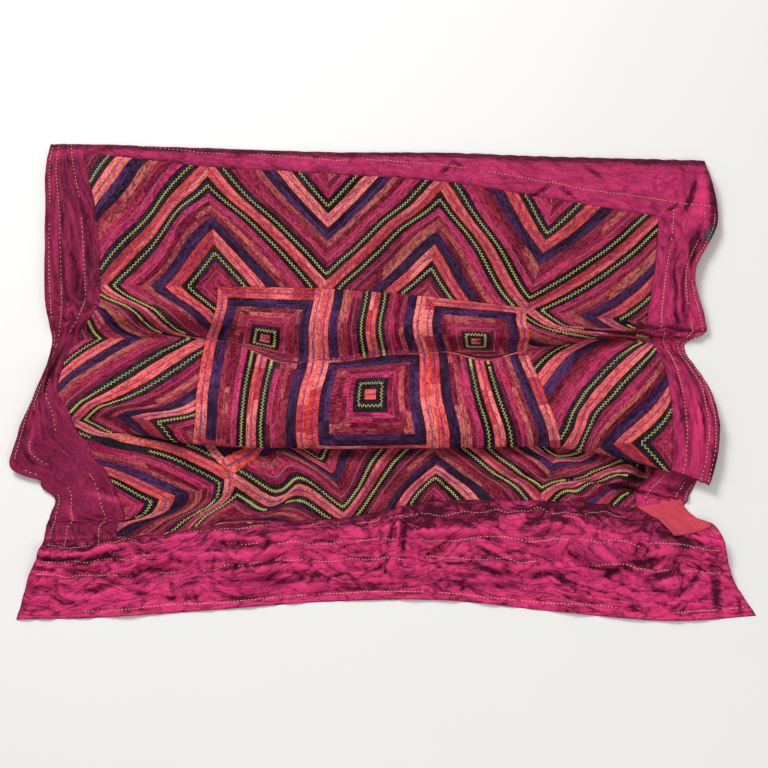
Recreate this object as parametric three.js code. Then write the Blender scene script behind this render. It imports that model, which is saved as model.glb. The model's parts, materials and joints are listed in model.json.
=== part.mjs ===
// A pieced velvet bedspread, thrown down loosely on a flat surface.
// Millimetres, +Z up. The surface is the plane z = 0, and the origin is the middle of the footprint.
//
// The cloth is described by its flat layout: "across" runs from the left hem to the right hem, "along"
// from the bottom hem to the top hem, both measured from the middle of the pieced field. Sections across
// the cloth say where it lies. The pieces are cut from that one surface, as a maker would sew them, and
// each becomes a thin solid.

import * as THREE from "three";

// ---- driving sizes ----------------------------------------------------------------------------------
const BAND = 33; // one band of the patchwork: two narrow velvet strips
const BLOCK = 11 * BAND; // a square block of the field
const FIELD = 2.5 * BLOCK; // half of the field's side, 5 blocks
const BORDER = 270; // width of the plain velvet border
const HEM = FIELD + BORDER; // half of the whole cloth's side
const THICK = 3; // velvet, wadding and lining together
const LINING_THICK = 1.2;
const SEAM_GAP = 0.3; // between two pieces that are sewn together
const LYING = THICK / 2; // height of the cloth's middle where it lies on the surface

// ---- how the cloth lies -----------------------------------------------------------------------------
// The lines of the flat cloth that run from top to bottom: hem, field seam, four block seams, field seam
// and hem.
const LINES = [-HEM, -FIELD, -1.5 * BLOCK, -0.5 * BLOCK, 0.5 * BLOCK, 1.5 * BLOCK, FIELD, HEM];

// Where those lines lie, left and right, where the cloth is folded under at the top and along the front.
const ACROSS_TOP = [-1095, -985, -570, -175, 185, 545, 905, 1050];
const ACROSS_PLEAT = [-1045, -898, -580, -230, 165, 540, 872, 985];

// One row for each section, from the top hem to the bottom hem. along: place in the flat cloth, and
// beyond: how far past it; x and y: where it lies; z: height of the cloth's middle. A list has one value
// for each of the LINES, a number serves them all.
const SECTIONS = [
  { name: "top hem, tucked under", along: HEM, z: LYING, x: ACROSS_TOP,
    y: [610, 600, 625, 620, 645, 680, 722, 736] },
  { name: "top fold, below", along: FIELD, beyond: [66, 56, 96, 106, 131, 181, 231, 250],
    z: LYING, x: ACROSS_TOP,
    y: [822, 822, 808, 793, 792, 778, 768, 763] },
  { name: "top fold, edge", along: FIELD, beyond: [50, 40, 80, 90, 115, 165, 215, 235],
    z: 10, x: ACROSS_TOP,
    y: [835, 835, 820, 806, 804, 790, 780, 775] },
  { name: "top fold, above", along: FIELD, beyond: [34, 24, 64, 74, 99, 149, 198, 218],
    z: 20, x: ACROSS_TOP,
    y: [822, 824, 808, 794, 792, 776, 766, 762] },
  { name: "seam of field and top border", along: FIELD, z: 26,
    x: [-1100, -980, -575, -180, 185, 545, 885, 1075], y: [780, 795, 745, 720, 693, 630, 570, 550] },
  { name: "middle of the first blocks", along: 2 * BLOCK, z: 36,
    x: [-1090, -925, -550, -180, 165, 505, 860, 990], y: [570, 570, 527, 510, 483, 430, 385, 375] },
  { name: "first and second blocks meet", along: 1.5 * BLOCK, z: [30, 42, 48, 48, 46, 44, 38, 26],
    x: [-1075, -895, -525, -185, 135, 450, 825, 1010], y: [325, 325, 320, 315, 285, 245, 205, 220] },
  { name: "brow over the crease", along: 0.5 * BLOCK, beyond: 120, z: [26, 48, 58, 60, 58, 50, 34, 16],
    x: [-1055, -915, -535, -205, 122, 455, 832, 1000], y: [205, 220, 200, 158, 156, 148, 170, 165] },
  { name: "crease of back and seat", along: 0.5 * BLOCK, z: [LYING, 6, 10, 8, 8, 10, 8, LYING],
    x: [-1045, -970, -560, -205, 140, 450, 845, 945], y: [145, 155, 155, 85, 110, 115, 145, 135] },
  { name: "middle of the seat", along: 0, z: [20, 52, 60, 60, 60, 60, 54, 26],
    x: [-1085, -1005, -575, -230, 145, 495, 875, 1010], y: [-35, -25, -38, -55, -55, -42, 10, -15] },
  { name: "brink of the seat", along: -0.5 * BLOCK, beyond: [35, 35, 35, 35, 35, 35, 0, -15],
    z: [24, 46, 54, 54, 54, 54, 50, 36],
    x: [-1130, -960, -575, -235, 165, 535, 880, 1025], y: [-185, -105, -155, -175, -175, -175, -195, -195] },
  { name: "front fold, edge", along: -0.5 * BLOCK, beyond: [-55, -15, -12, -10, -10, -10, -80, -145],
    z: [18, 32, 32, 32, 32, 32, 30, 26],
    x: [-1133, -952, -580, -230, 165, 540, 872, 985], y: [-272, -132, -192, -205, -205, -205, -278, -318] },
  { name: "front fold, below", along: -0.5 * BLOCK, beyond: [-90, -55, -45, -43, -43, -43, -110, -175],
    z: [14, 28, 17, 16, 16, 16, 15, 15],
    x: [-1095, -928, -580, -230, 165, 540, 872, 985], y: [-290, -165, -178, -186, -186, -186, -262, -298] },
  { name: "pleat, above its fold", along: -0.5 * BLOCK,
    beyond: [-125, -95, -125, -195, -245, -195, -195, -235],
    z: [12, 24, 15, 13, 13, 13, 13, 13], x: ACROSS_PLEAT,
    y: [-305, -196, -95, -30, 20, -30, -175, -245] },
  { name: "pleat, its fold", along: -0.5 * BLOCK, beyond: [-140, -110, -138, -208, -258, -208, -208, -248],
    z: [11, 22, 8, 7, 7, 7, 7, 7], x: ACROSS_PLEAT,
    y: [-312, -208, -86, -20, 30, -20, -166, -238] },
  { name: "pleat, below its fold", along: -0.5 * BLOCK,
    beyond: [-155, -125, -152, -222, -272, -222, -222, -262],
    z: [10, 20, 2.5, LYING, LYING, LYING, 2, 2], x: ACROSS_PLEAT,
    y: [-318, -220, -96, -30, 20, -30, -176, -246] },
  { name: "apron leaves the pleat", along: -0.5 * BLOCK,
    beyond: [-255, -185, -262, -402, -502, -402, -342, -342],
    z: [6, 16, 4, LYING, LYING, LYING, LYING, LYING],
    x: [-1002, -858, -550, -215, 160, 535, 820, 950],
    y: [-355, -262, -192, -205, -205, -205, -275, -312] },
  { name: "middle of the apron", along: -1.5 * BLOCK, beyond: [-40, 0, 0, -135, -215, -135, -120, -140],
    z: [6, 12, 14, 16, 12, 16, 14, 8],
    x: [-1012, -792, -475, -165, 160, 520, 775, 925], y: [-412, -388, -287, -275, -262, -262, -320, -358] },
  { name: "seam of field and bottom border", along: -FIELD, z: [4, 6, 7, 7, 6, 6, 5, 3],
    x: [-1025, -803, -490, -120, 150, 475, 765, 955], y: [-485, -484, -443, -418, -368, -366, -388, -425] },
  { name: "lip of the bottom border", along: -FIELD, beyond: [-37, -37, -37, -39, -50, -47, -41, -37],
    z: [26, 34, 38, 38, 32, 32, 34, 24],
    x: [-1028, -797, -487, -117, 150, 472, 770, 995], y: [-515, -512, -462, -448, -436, -430, -436, -455] },
  { name: "middle of the bottom border", along: -FIELD, beyond: -150, z: [10, 14, 16, 16, 16, 16, 14, 10],
    x: [-1060, -825, -495, -145, 170, 500, 835, 1040], y: [-600, -608, -585, -560, -560, -565, -595, -603] },
  { name: "bottom hem", along: -HEM, z: LYING,
    x: [-1090, -850, -510, -165, 175, 520, 870, 1105], y: [-725, -720, -697, -672, -668, -703, -730, -714] },
];

// Soft ridges (high > 0) and troughs (high < 0) in the lying cloth, placed in the flat layout. heading is
// the angle from "across", in degrees; long and wide are its whole length and width.
const FOLDS = [
  { name: "left flap, upper ridge", across: -1045, along: 560, heading: 96, long: 420, wide: 90, high: 16 },
  { name: "left flap, lower ridge", across: -1025, along: 30, heading: 70, long: 300, wide: 90, high: 18 },
  { name: "right flap, upper ridge", across: 1045, along: 640, heading: 82, long: 420, wide: 90, high: 16 },
  { name: "right flap, lower ridge", across: 1045, along: -40, heading: 100, long: 300, wide: 90, high: 18 },
  { name: "back, right trough", across: 720, along: 485, heading: -3, long: 540, wide: 230, high: -14 },
  { name: "back, left swell", across: -680, along: 680, heading: 20, long: 460, wide: 200, high: 14 },
  { name: "back, middle swell", across: 60, along: 740, heading: -30, long: 440, wide: 180, high: 12 },
  { name: "seat, left swell", across: -740, along: 60, heading: 28, long: 420, wide: 130, high: 16 },
  { name: "seat, right trough", across: 680, along: 30, heading: -40, long: 380, wide: 120, high: -12 },
  { name: "apron, left fold", across: -350, along: -775, heading: 84, long: 280, wide: 90, high: 20 },
  { name: "apron, middle fold", across: 185, along: -825, heading: 80, long: 200, wide: 90, high: 14 },
  { name: "apron, right fold", across: 820, along: -740, heading: 88, long: 280, wide: 90, high: 24 },
  { name: "border, first rumple", across: -880, along: -1045, heading: 16, long: 440, wide: 80, high: 18 },
  { name: "border, second rumple", across: -420, along: -1060, heading: -12, long: 400, wide: 80, high: 20 },
  { name: "border, seam ridge", across: -10, along: -1045, heading: 92, long: 260, wide: 70, high: 16 },
  { name: "border, third rumple", across: 320, along: -1075, heading: 10, long: 400, wide: 80, high: 20 },
  { name: "border, fourth rumple", across: 800, along: -1050, heading: -14, long: 440, wide: 80, high: 20 },
];

// Values at rising or falling knots, read anywhere between them as one smooth curve.
function smooth(knots, values, at) {
  const last = knots.length - 1;
  const slope = (i) => (values[i + 1] - values[i]) / (knots[i + 1] - knots[i]);
  const tangent = (i) => {
    if (i === 0) return slope(0);
    if (i === last) return slope(last - 1);
    const before = knots[i] - knots[i - 1];
    const after = knots[i + 1] - knots[i];
    return (after * slope(i - 1) + before * slope(i)) / (before + after);
  };
  let i = 0;
  while (i < last - 1 && (at - knots[i + 1]) * Math.sign(knots[last] - knots[0]) > 0) i += 1;
  const step = knots[i + 1] - knots[i];
  const t = (at - knots[i]) / step;
  const start = (1 + 2 * t) * (1 - t) * (1 - t);
  const leave = t * (1 - t) * (1 - t);
  const arrive = t * t * (t - 1);
  const ends = start * values[i] + (1 - start) * values[i + 1];
  return ends + step * (leave * tangent(i) + arrive * tangent(i + 1));
}

const lineValue = (value, across) => (Array.isArray(value) ? smooth(LINES, value, across) : value);
const sectionAlong = (section, across) => section.along + lineValue(section.beyond ?? 0, across);

// The height that the soft ridges and troughs add.
function relief(across, along) {
  return FOLDS.reduce((sum, fold) => {
    const angle = THREE.MathUtils.degToRad(fold.heading);
    const right = across - fold.across;
    const up = along - fold.along;
    const s = (right * Math.cos(angle) + up * Math.sin(angle)) / (fold.long / 2);
    const w = (up * Math.cos(angle) - right * Math.sin(angle)) / (fold.wide / 2);
    const inside = Math.abs(s) < 1 && Math.abs(w) < 1;
    return inside ? sum + fold.high * (1 - s * s) ** 2 * (1 - w * w) ** 2 : sum;
  }, 0);
}

// The line of the cloth that runs from top to bottom at one place across, as knots of its smooth curve.
function lineAt(across) {
  const knots = SECTIONS.map((section) => sectionAlong(section, across));
  const read = (key) => SECTIONS.map((section) => lineValue(section[key], across));
  return { knots, x: read("x"), y: read("y"), z: read("z") };
}

const lines = new Map();
function place(across, along) {
  if (!lines.has(across)) lines.set(across, lineAt(across));
  const line = lines.get(across);
  const at = (values) => smooth(line.knots, values, along);
  return new THREE.Vector3(at(line.x), at(line.y), Math.max(LYING, at(line.z) + relief(across, along)));
}

// The directions at a place of the cloth: to the right, up along the cloth, and out of the velvet side.
function directions(across, along) {
  const STEP = 1;
  const up = place(across, along + STEP).sub(place(across, along - STEP)).normalize();
  const out = place(across + STEP, along).sub(place(across - STEP, along)).cross(up).normalize();
  return { right: up.clone().cross(out), up, out };
}

// ---- the grid that every piece is cut from ----------------------------------------------------------
// Steps between one of the LINES and the next, and between one section and the next.
const LINE_STEPS = [5, 7, 7, 7, 7, 7, 5];
const SECTION_STEPS = [2, 1, 1, 2, 3, 3, 3, 3, 3, 3, 2, 1, 2, 1, 1, 2, 3, 4, 2, 3, 3];

const ramp = (values, steps) => steps.flatMap((count, i) =>
  Array.from({ length: count }, (_, k) => values[i] + ((values[i + 1] - values[i]) * k) / count))
  .concat(values.at(-1));

const ACROSS = ramp(LINES, LINE_STEPS);
const SECTION_AT = ramp(SECTIONS.map((_, i) => i), SECTION_STEPS);
const columnOf = (across) => ACROSS.findIndex((value) => Math.abs(value - across) < 1e-6);
const rowOf = (name) => SECTION_AT.indexOf(SECTIONS.findIndex((section) => section.name === name));

// The flat place of a grid point.
function flatPlace(column, row) {
  const across = ACROSS[column];
  const below = Math.min(Math.floor(SECTION_AT[row]), SECTIONS.length - 2);
  const part = SECTION_AT[row] - below;
  const from = sectionAlong(SECTIONS[below], across);
  const to = sectionAlong(SECTIONS[below + 1], across);
  return { across, along: from + (to - from) * part };
}

// A closed solid between two skins of points, rows by columns.
function sheetGeometry(topSkin, bottomSkin) {
  const rows = topSkin.length;
  const columns = topSkin[0].length;
  const positions = [...topSkin.flat(), ...bottomSkin.flat()].flatMap((point) => point.toArray());
  const top = (row, column) => row * columns + column;
  const bottom = (row, column) => rows * columns + top(row, column);
  const index = [];
  const quad = (a, b, c, d) => index.push(a, b, c, a, c, d);
  for (let row = 0; row < rows - 1; row += 1) {
    for (let column = 0; column < columns - 1; column += 1) {
      quad(top(row, column), top(row + 1, column), top(row + 1, column + 1), top(row, column + 1));
      quad(bottom(row, column), bottom(row, column + 1), bottom(row + 1, column + 1), bottom(row + 1, column));
    }
    const right = columns - 1;
    quad(top(row, 0), bottom(row, 0), bottom(row + 1, 0), top(row + 1, 0));
    quad(top(row, right), top(row + 1, right), bottom(row + 1, right), bottom(row, right));
  }
  for (let column = 0; column < columns - 1; column += 1) {
    const end = rows - 1;
    quad(top(0, column), top(0, column + 1), bottom(0, column + 1), bottom(0, column));
    quad(top(end, column), bottom(end, column), bottom(end, column + 1), top(end, column + 1));
  }
  const geometry = new THREE.BufferGeometry();
  geometry.setAttribute("position", new THREE.Float32BufferAttribute(positions, 3));
  geometry.setIndex(index);
  geometry.computeVertexNormals();
  return geometry;
}

// A solid of one thickness over a patch of the grid, from one row and column to another. above: height of
// its middle over the cloth's middle. sewn: its edges are seams, and it ends half a seam gap short of them.
function layOver({ rows, columns, above, thick, sewn }) {
  const seam = sewn ? SEAM_GAP / 2 : 0;
  const inset = (at, [first, last], end) =>
    (at === first && first > 0 ? seam : 0) - (at === last && last < end ? seam : 0);
  const topSkin = [];
  const bottomSkin = [];
  for (let row = rows[0]; row <= rows[1]; row += 1) {
    const topRow = [];
    const bottomRow = [];
    for (let column = columns[0]; column <= columns[1]; column += 1) {
      const { across, along } = flatPlace(column, row);
      const { right, up, out } = directions(across, along);
      const middle = place(across, along)
        .addScaledVector(right, inset(column, columns, ACROSS.length - 1))
        .addScaledVector(up, -inset(row, rows, SECTION_AT.length - 1));
      const skin = (height) => {
        const point = middle.clone().addScaledVector(out, height);
        return point.setZ(Math.max(0, point.z));
      };
      topRow.push(skin(above + thick / 2));
      bottomRow.push(skin(above - thick / 2));
    }
    topSkin.push(topRow);
    bottomSkin.push(bottomRow);
  }
  return sheetGeometry(topSkin, bottomSkin);
}

// A piece of the cloth between four of its edges.
const cutPiece = ({ left, right, top, bottom }) => layOver({
  rows: [rowOf(top), rowOf(bottom)],
  columns: [columnOf(left), columnOf(right)],
  above: 0,
  thick: THICK,
  sewn: true,
});

// The lining that faces up where the right border is turned over: a thin sheet that lies on the velvet.
const liningPatch = () => layOver({
  rows: [rowOf(APRON) + 1, rowOf(LIP)],
  columns: [columnOf(FIELD) + 1, columnOf(HEM)],
  above: (THICK + LINING_THICK) / 2 + SEAM_GAP,
  thick: LINING_THICK,
  sewn: false,
});

// ---- finishes ---------------------------------------------------------------------------------------
const velvet = (color) => new THREE.MeshStandardMaterial({ color, roughness: 0.85, metalness: 0 });
const PATCHWORK = velvet("#8c2a45");
const BORDER_VELVET = velvet("#b32a5e");
const LINING = new THREE.MeshStandardMaterial({ color: "#c9404f", roughness: 0.9, metalness: 0 });

// ---- the pieces -------------------------------------------------------------------------------------
const TOP_HEM = "top hem, tucked under";
const TOP_SEAM = "seam of field and top border";
const BOTTOM_SEAM = "seam of field and bottom border";
const LIP = "lip of the bottom border";
const APRON = "middle of the apron";
const BOTTOM_HEM = "bottom hem";
const MIDDLE_SEAM = BLOCK / 14; // the bottom border's own seam, a little right of the middle

const PIECES = [
  { name: "pieced_field", left: -FIELD, right: FIELD, top: TOP_SEAM, bottom: BOTTOM_SEAM },
  { name: "border_top", left: -HEM, right: HEM, top: TOP_HEM, bottom: TOP_SEAM },
  { name: "border_left", left: -HEM, right: -FIELD, top: TOP_SEAM, bottom: BOTTOM_SEAM },
  { name: "border_right", left: FIELD, right: HEM, top: TOP_SEAM, bottom: BOTTOM_SEAM },
  { name: "border_bottom_left", left: -HEM, right: MIDDLE_SEAM, top: BOTTOM_SEAM, bottom: BOTTOM_HEM },
  { name: "border_bottom_right", left: MIDDLE_SEAM, right: HEM, top: BOTTOM_SEAM, bottom: BOTTOM_HEM },
];

const bedspread = new THREE.Group();
function add(name, geometry, material) {
  const mesh = new THREE.Mesh(geometry, material);
  mesh.name = name;
  bedspread.add(mesh);
}
PIECES.forEach((piece) => {
  add(piece.name, cutPiece(piece), piece.name === "pieced_field" ? PATCHWORK : BORDER_VELVET);
});
add("lining", liningPatch(), LINING);

// The origin is the middle of the footprint, on the surface.
const box = new THREE.Box3().setFromObject(bedspread);
const middle = box.getCenter(new THREE.Vector3());
bedspread.position.set(-middle.x, -middle.y, -box.min.z);

export default bedspread;
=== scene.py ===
"""A pieced velvet bedspread, thrown down loosely on a flat surface.

The cloth is described by its flat layout, in millimetres: "across" runs from the left hem to the right hem,
"along" from the bottom hem to the top hem, both from the middle of the pieced field. Sections across the
cloth say where it lies, and every piece takes its place from that one surface.
"""

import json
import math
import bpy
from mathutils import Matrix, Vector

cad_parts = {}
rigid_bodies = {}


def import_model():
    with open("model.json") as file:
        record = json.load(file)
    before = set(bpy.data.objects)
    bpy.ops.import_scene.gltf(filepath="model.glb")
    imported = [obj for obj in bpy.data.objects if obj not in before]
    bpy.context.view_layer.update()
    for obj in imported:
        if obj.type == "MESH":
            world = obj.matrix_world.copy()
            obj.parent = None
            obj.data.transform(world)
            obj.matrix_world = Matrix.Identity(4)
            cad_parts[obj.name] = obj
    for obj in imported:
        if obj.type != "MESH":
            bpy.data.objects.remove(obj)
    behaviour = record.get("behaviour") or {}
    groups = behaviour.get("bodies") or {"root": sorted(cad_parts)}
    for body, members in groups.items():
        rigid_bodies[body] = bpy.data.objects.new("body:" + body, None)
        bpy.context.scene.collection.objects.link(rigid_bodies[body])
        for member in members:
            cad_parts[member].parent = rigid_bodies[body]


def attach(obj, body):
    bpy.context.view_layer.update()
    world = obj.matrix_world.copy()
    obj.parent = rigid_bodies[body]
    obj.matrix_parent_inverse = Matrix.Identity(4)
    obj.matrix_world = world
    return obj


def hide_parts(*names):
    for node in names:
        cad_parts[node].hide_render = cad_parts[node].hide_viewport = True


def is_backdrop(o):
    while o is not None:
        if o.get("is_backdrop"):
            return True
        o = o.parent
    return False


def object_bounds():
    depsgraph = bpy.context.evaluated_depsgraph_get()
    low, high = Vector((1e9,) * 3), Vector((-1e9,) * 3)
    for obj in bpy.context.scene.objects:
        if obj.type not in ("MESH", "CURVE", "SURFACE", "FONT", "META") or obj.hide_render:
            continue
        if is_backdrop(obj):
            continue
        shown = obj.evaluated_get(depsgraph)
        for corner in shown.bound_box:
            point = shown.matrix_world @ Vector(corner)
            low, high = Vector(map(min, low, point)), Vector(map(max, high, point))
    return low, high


bl_info = {
    "name": "Pieced Velvet Bedspread",
    "version": (1, 0, 0),
    "blender": (4, 5, 0),
    "location": "3D View > Sidebar > Bedspread",
    "description": "Builds a pieced velvet bedspread with its borders, lining and hand stitches",
    "category": "Add Mesh",
}

from collections import namedtuple

import bpy
import numpy as np
from bpy.props import FloatProperty, FloatVectorProperty, PointerProperty
from bpy.types import Operator, Panel, PropertyGroup
from mathutils import Vector
from mathutils.bvhtree import BVHTree

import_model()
CAD_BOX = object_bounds()

# ---- driving sizes, in millimetres ----
BAND = 33.0  # one band of the patchwork: two narrow velvet strips
STRIPS = 22  # strips across a square block
DIAGONAL_STRIPS = 16  # strips that end at each side of a diagonal block
CELLS_PER_STRIP = 3
BLOCK = STRIPS / 2 * BAND  # a square block of the field
FIELD = 2.5 * BLOCK  # half of the field's side, 5 blocks
BORDER = 270.0
HEM = FIELD + BORDER  # half of the whole cloth's side
THICK = 3.0  # velvet, wadding and lining together
LYING = THICK / 2  # height of the cloth's middle where it lies on the surface
THINNEST = 0.3  # what is left of it where it is pressed down
LINING_THICK = 1.2
TO_MIDDLE = np.array([18.4, -53.55, 0.0])  # from the table's origin to the middle of the footprint
METRE = 0.001

# ---- how the cloth lies ----
LINES = np.array([-HEM, -FIELD, -1.5 * BLOCK, -0.5 * BLOCK, 0.5 * BLOCK, 1.5 * BLOCK, FIELD, HEM])
ACROSS_TOP = [-1095, -985, -570, -175, 185, 545, 905, 1050]
ACROSS_PLEAT = [-1045, -898, -580, -230, 165, 540, 872, 985]

# One row for each section, from the top hem to the bottom hem: name, place along the flat cloth, how far
# beyond it, where it lies (x, y and height of the cloth's middle) and how freely wrinkles rise there, which
# is not at all where layers lie close. A list has one value for each line.
Section = namedtuple("Section", "name along beyond x y z free")
SECTIONS = [Section(*row) for row in (
    ("top hem, tucked under", HEM, 0, ACROSS_TOP, [610, 600, 625, 620, 645, 680, 722, 736], LYING, 0),
    ("top fold, below", FIELD, [66, 56, 96, 106, 131, 181, 231, 250], ACROSS_TOP,
     [822, 822, 808, 793, 792, 778, 768, 763], LYING, 0),
    ("top fold, edge", FIELD, [50, 40, 80, 90, 115, 165, 215, 235], ACROSS_TOP,
     [835, 835, 820, 806, 804, 790, 780, 775], 10, 0.15),
    ("top fold, above", FIELD, [34, 24, 64, 74, 99, 149, 198, 218], ACROSS_TOP,
     [822, 824, 808, 794, 792, 776, 766, 762], 20, 0.5),
    ("seam of field and top border", FIELD, 0,
     [-1100, -980, -575, -180, 185, 545, 885, 1075], [780, 795, 745, 720, 693, 630, 570, 550], 26, 1),
    ("middle of the first blocks", 2 * BLOCK, 0,
     [-1090, -925, -550, -180, 165, 505, 860, 990], [570, 570, 527, 510, 483, 430, 385, 375], 36, 1),
    ("first and second blocks meet", 1.5 * BLOCK, 0,
     [-1075, -895, -525, -185, 135, 450, 825, 1010], [325, 325, 320, 315, 285, 245, 205, 220],
     [30, 42, 48, 48, 46, 44, 38, 26], 1),
    ("brow over the crease", 0.5 * BLOCK, 120,
     [-1055, -915, -535, -205, 122, 455, 832, 1000], [205, 220, 200, 158, 156, 148, 170, 165],
     [26, 48, 58, 60, 58, 50, 34, 16], 1),
    ("crease of back and seat", 0.5 * BLOCK, 0,
     [-1045, -970, -560, -205, 140, 450, 845, 945], [145, 155, 155, 85, 110, 115, 145, 135],
     [LYING, 6, 10, 8, 8, 10, 8, LYING], 0.7),
    ("middle of the seat", 0, 0,
     [-1085, -1005, -575, -230, 145, 495, 875, 1010], [-35, -25, -38, -55, -55, -42, 10, -15],
     [20, 52, 60, 60, 60, 60, 54, 26], 1),
    ("brink of the seat", -0.5 * BLOCK, [35, 35, 35, 35, 35, 35, 0, -15],
     [-1130, -960, -575, -235, 165, 535, 880, 1025], [-185, -105, -155, -175, -175, -175, -195, -195],
     [24, 46, 54, 54, 54, 54, 50, 36], 1),
    ("front fold, edge", -0.5 * BLOCK, [-55, -15, -12, -10, -10, -10, -80, -145],
     [-1133, -952, -580, -230, 165, 540, 872, 985], [-272, -132, -192, -205, -205, -205, -278, -318],
     [18, 32, 32, 32, 32, 32, 30, 26], 0.5),
    ("front fold, below", -0.5 * BLOCK, [-90, -55, -45, -43, -43, -43, -110, -175],
     [-1095, -928, -580, -230, 165, 540, 872, 985], [-290, -165, -178, -186, -186, -186, -262, -298],
     [14, 28, 17, 16, 16, 16, 15, 15], 0),
    ("pleat, above its fold", -0.5 * BLOCK, [-125, -95, -125, -195, -245, -195, -195, -235],
     ACROSS_PLEAT, [-305, -196, -95, -30, 20, -30, -175, -245], [12, 24, 15, 13, 13, 13, 13, 13], 0),
    ("pleat, its fold", -0.5 * BLOCK, [-140, -110, -138, -208, -258, -208, -208, -248],
     ACROSS_PLEAT, [-312, -208, -86, -20, 30, -20, -166, -238], [11, 22, 8, 7, 7, 7, 7, 7], 0),
    ("pleat, below its fold", -0.5 * BLOCK, [-155, -125, -152, -222, -272, -222, -222, -262],
     ACROSS_PLEAT, [-318, -220, -96, -30, 20, -30, -176, -246],
     [10, 20, 2.5, LYING, LYING, LYING, 2, 2], 0),
    ("apron leaves the pleat", -0.5 * BLOCK, [-255, -185, -262, -402, -502, -402, -342, -342],
     [-1002, -858, -550, -215, 160, 535, 820, 950], [-355, -262, -192, -205, -205, -205, -275, -312],
     [6, 16, 4, LYING, LYING, LYING, LYING, LYING], 0.1),
    ("middle of the apron", -1.5 * BLOCK, [-40, 0, 0, -135, -215, -135, -120, -140],
     [-1012, -792, -475, -165, 160, 520, 775, 925], [-412, -388, -287, -275, -262, -262, -320, -358],
     [6, 12, 14, 16, 12, 16, 14, 8], 0.9),
    ("seam of field and bottom border", -FIELD, 0,
     [-1025, -803, -490, -120, 150, 475, 765, 955], [-485, -484, -443, -418, -368, -366, -388, -425],
     [4, 6, 7, 7, 6, 6, 5, 3], 0.6),
    ("lip of the bottom border", -FIELD, [-37, -37, -37, -39, -50, -47, -41, -37],
     [-1028, -797, -487, -117, 150, 472, 770, 995], [-515, -512, -462, -448, -436, -430, -436, -455],
     [26, 34, 38, 38, 32, 32, 34, 24], 1),
    ("middle of the bottom border", -FIELD, -150,
     [-1060, -825, -495, -145, 170, 500, 835, 1040], [-600, -608, -585, -560, -560, -565, -595, -603],
     [10, 14, 16, 16, 16, 16, 14, 10], 1),
    ("bottom hem", -HEM, 0,
     [-1090, -850, -510, -165, 175, 520, 870, 1105], [-725, -720, -697, -672, -668, -703, -730, -714],
     LYING, 0.5),
)]
NUMBER = {section.name: number for number, section in enumerate(SECTIONS)}
TOP_FOLD = SECTIONS[NUMBER["top fold, above"]]
# Seen from above, the velvet shows from the first to the second of these section numbers and from the third.
TOP_FROM = NUMBER["top fold, edge"] + 0.4
FRONT_TO = NUMBER["front fold, below"] + 0.4
APRON_FROM = NUMBER["apron leaves the pleat"] - 0.1

# Soft ridges (high > 0) and troughs in the lying cloth, placed in the flat layout: name, across, along,
# heading in degrees from "across", whole length and width, and height.
FOLDS = [
    ("left flap, upper ridge", -1045, 560, 96, 420, 90, 16),
    ("left flap, lower ridge", -1025, 30, 70, 300, 90, 18),
    ("right flap, upper ridge", 1045, 640, 82, 420, 90, 16),
    ("right flap, lower ridge", 1045, -40, 100, 300, 90, 18),
    ("back, right trough", 720, 485, -3, 540, 230, -14),
    ("back, left swell", -680, 680, 20, 460, 200, 14),
    ("back, middle swell", 60, 740, -30, 440, 180, 12),
    ("seat, left swell", -740, 60, 28, 420, 130, 16),
    ("seat, right trough", 680, 30, -40, 380, 120, -12),
    ("apron, left fold", -350, -775, 84, 280, 90, 20),
    ("apron, middle fold", 185, -825, 80, 200, 90, 14),
    ("apron, right fold", 820, -740, 88, 280, 90, 24),
    ("border, first rumple", -880, -1045, 16, 440, 80, 18),
    ("border, second rumple", -420, -1060, -12, 400, 80, 20),
    ("border, seam ridge", -10, -1045, 92, 260, 70, 16),
    ("border, third rumple", 320, -1075, 10, 400, 80, 20),
    ("border, fourth rumple", 800, -1050, -14, 440, 80, 20),
]

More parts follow.
